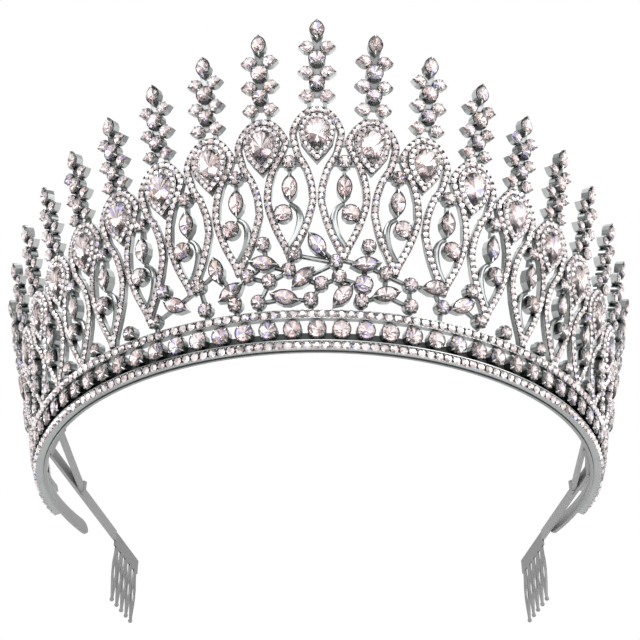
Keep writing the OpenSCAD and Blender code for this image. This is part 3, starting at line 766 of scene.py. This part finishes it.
# The first stone lies farther down, in the halo's point
halo_line[0] = (0, pear[0][1] - 1.5 * halo_out)
for k in SPIRES:
    flat = on_wall(k, pear_v(k))
    for spot, heading in evenly(halo_line + halo_line[:1], HALO_STONE_PITCH, 0):
        halo_gems.add(halo_stone, flat @ Matrix.Translation((*spot, halo_seat)) @ along(heading))
        at = spot + heading * HALO_STONE_PITCH / 2 + Vector((heading.y, -heading.x)) * halo_bead_out
        halo_metal.add(halo_bead, flat @ Matrix.Translation((*at, halo_bead_foot)))
    halo_metal.add(halo_rim, flat)
halo_gems.build()
halo_metal.build()

# Leaf-shaped stones and rims on the leaf settings of the spires
leaf_gems = Pile("leaf_gems", [crystal, foil], "clear_stone")
leaf_metal = metal_pile("leaf_metal", bright_metal)
leaf_r, leaf_seat = LEAF_D / 2 + STONE_GAP, PLATE_T + 0.5
leaf_rim = rim(leaf_outline(leaf_r + 0.2, LEAF_REACH - 0.1), 0.18, 0.05, leaf_seat)
leaf_cut = cut_stone(leaf_outline(leaf_r + 0.26, LEAF_REACH - 0.08, 14), top=0.58, depth=0.4)
leaf_bead, leaf_beads, leaf_bead_out, leaf_bead_foot = bead(0.24, 0.42), (60, 180, 300), 0.3, PLATE_T + 0.42
for k in SPIRES:
    for at, out in LEAVES:
        for side in (-1, 1):
            turn = math.pi / 2 - side * math.pi / 2
            place = on_wall(k, pear_v(k) + at * rise(k), 0, turn, side * out * LEAF_SIDE)
            leaf_metal.add(leaf_rim, place)
            leaf_gems.add(leaf_cut, place @ Matrix.Translation((0, 0, leaf_seat)))
            for angle in leaf_beads:
                spot = Matrix.Translation((leaf_r + leaf_bead_out, 0, leaf_bead_foot))
                leaf_metal.add(leaf_bead, place @ Matrix.Rotation(math.radians(angle), 4, "Z") @ spot)
leaf_gems.build()
leaf_metal.build()

# Rows of small stones on the band's two rails, between raised edges
rail_gems = chip_pile("rail_gems")
rail_metal = metal_pile("rail_metal", bright_metal)
rail_stone, rail_seat = small_stone(RAIL_STONE_D), RAIL_FACE + 0.36
rail_bead, rail_bead_out, rail_bead_foot = bead(0.3, 0.42), 0.8, RAIL_FACE + 0.05
rail_edge_in, rail_edge_half, rail_edge_foot, rail_edge_top = 0.1, 0.1, RAIL_FACE - 0.2, RAIL_FACE + 0.25
# The lower row's stones and beads lie a little below the rail's middle
for v, shift in ((RAIL_LOW, -0.22), (RAIL_TOP, 0)):
    step = RAIL_STONE_PITCH / wall_r(v, RAIL_FACE) / UNIT_PITCH
    count = math.floor(2 * RAIL_END / (step * UNIT_PITCH))
    for i in range(count):
        k = (i - (count - 1) / 2) * step
        rail_gems.add(rail_stone, on_wall(k, v + shift, rail_seat, chance.uniform(-0.2, 0.2)))
        for out in (-rail_bead_out, rail_bead_out):
            rail_metal.add(rail_bead, on_wall(k + step / 2, v + shift + out, rail_bead_foot))
    for out in (-RAIL_H / 2 + rail_edge_in, RAIL_H / 2 - rail_edge_in):
        edge = bow(v + out, rail_edge_half, rail_edge_foot, rail_edge_top)
        rail_metal.add(edge, Matrix.Scale(MM, 4))
rail_gems.build()
rail_metal.build()

# Rounded scrolls in the loops
scrolls = metal_pile("scrolls", polished_metal)
scroll_axis, scroll_swell = PLATE_T - 0.35, 0.12
for j in scroll_loops:
    line = smooth(
        [(side_of(j) * a * half_w(loop_at(j, b)), loop_at(j, b), c * SCROLL_W) for a, b, c in SCROLL], 6,
    )
    points = [(u, v, scroll_axis) for u, v, _ in line]
    scrolls.add(tube(points, [c / 2 + scroll_swell for _, _, c in line], sides=12), on_wall(j))
scrolls.build()

# Round twigs between the flowers, and posts under the lowest stones
twigs = metal_pile("twigs", polished_metal)
twig_r = 0.6 * TWIG_D
posts = [(k, v, k, RAIL_TOP / flower_v(1)) for k, v, _ in FLOWER_ROUNDS if v < LOW_FLOWER]
for a, b, c, d in TWIGS + posts:
    ends = [on_wall(k, flower_v(v), PLATE_T / 2).translation / MM for k, v in ((a, b), (c, d))]
    points = [ends[0].lerp(ends[1], t) for t in (0, 0.33, 0.66, 1)]
    twigs.add(tube(points, [twig_r * chance.uniform(0.95, 1.1) for _ in points]), Matrix.Scale(MM, 4))
for k in BASE_ROUNDS:
    ends = [on_wall(k, RAIL_TOP + up, PLATE_T / 2).translation / MM for up in (0.6, BASE_ROUND_RISE - 0.9)]
    twigs.add(tube(ends, [0.62, 0.5]), Matrix.Scale(MM, 4))
twigs.build()

# Floor, lights and camera
FLOOR_HALF, FLOOR_Z = 3, -0.33
corners = [(x * FLOOR_HALF, y * FLOOR_HALF, FLOOR_Z) for x, y in ((-1, -1), (1, -1), (1, 1), (-1, 1))]
floor_mesh = bpy.data.meshes.new("floor")
floor_mesh.from_pydata(corners, [], [(0, 1, 2, 3)])
floor = bpy.data.objects.new("floor", floor_mesh)
bpy.context.scene.collection.objects.link(floor)
pale, _ = new_material("pale_floor", Base_Color=(0.85, 0.85, 0.85, 1), Roughness=0.7)
floor_mesh.materials.append(pale)

# Soft lamps, columns: name, place in metres, width, power
LAMPS = [
    ("key", (-0.7, -0.9, 0.7), 0.8, 5), ("fill", (0.9, -0.7, 0.15), 0.9, 3.5),
    ("front_low", (0.05, -1.15, -0.15), 0.7, 2), ("back", (0.3, 0.5, 1.1), 1.2, 2),
]
LIT_POINT = Vector((0, 0, 0.03))
for name, place, width, power in LAMPS:
    light = bpy.data.lights.new(name, "AREA")
    light.shape, light.size, light.energy = "SQUARE", width, power
    lamp = bpy.data.objects.new(name, light)
    lamp.location = place
    lamp.rotation_euler = (LIT_POINT - Vector(place)).to_track_quat("-Z", "Y").to_euler()
    bpy.context.scene.collection.objects.link(lamp)

# White to the camera; the metal and the stones see bright and dim patches instead
world = bpy.data.worlds.new("studio")
bpy.context.scene.world = world
world.use_nodes = True
tree = world.node_tree
seen = tree.nodes["Background"]
set_inputs(tree, seen, {"Color": (1, 1, 1, 1), "Strength": 1})
way = add_node(tree, "TexCoord").outputs["Generated"]
patches = add_node(tree, "TexNoise", {"Vector": way, "Scale": 3.4, "Detail": 1}).outputs["Fac"]
shade = add_node(tree, "ValToRGB", {"Fac": patches})
dim, bright = shade.color_ramp.elements
dim.position, dim.color = 0.42, (0.24, 0.24, 0.245, 1)
bright.position, bright.color = 0.56, (1, 1, 1, 1)
around = add_node(tree, "Background", {"Color": shade.outputs["Color"], "Strength": 1.3})
to_camera = add_node(tree, "LightPath").outputs["Is Camera Ray"]
either = add_node(
    tree, "MixShader", {"Fac": to_camera, 1: around.outputs["Background"], 2: seen.outputs["Background"]},
)
tree.links.new(either.outputs["Shader"], tree.nodes["World Output"].inputs["Surface"])
bpy.context.scene.view_settings.view_transform = "Standard"

# The photograph's view: from in front and below, looking up at the inside of the rim
FOCAL_PX, IMAGE_PX, SENSOR = 1222.4, 640, 36
DISTANCE, LOW, TILT = 0.34216, math.radians(25.164), math.radians(8.12)
SIDEWAYS, ROUND = math.radians(0.065), math.radians(0.2916)
camera = bpy.data.objects.new("camera", bpy.data.cameras.new("camera"))
bpy.context.scene.collection.objects.link(camera)
level = DISTANCE * math.cos(LOW)
camera.location = (level * math.sin(ROUND), -level * math.cos(ROUND), -DISTANCE * math.sin(LOW))
up, turn = LOW + TILT, SIDEWAYS - ROUND
look = Vector((math.sin(turn) * math.cos(up), math.cos(turn) * math.cos(up), math.sin(up)))
camera.rotation_euler = look.to_track_quat("-Z", "Y").to_euler()
camera.data.sensor_width = SENSOR
camera.data.lens = FOCAL_PX * SENSOR / IMAGE_PX
bpy.context.scene.camera = camera
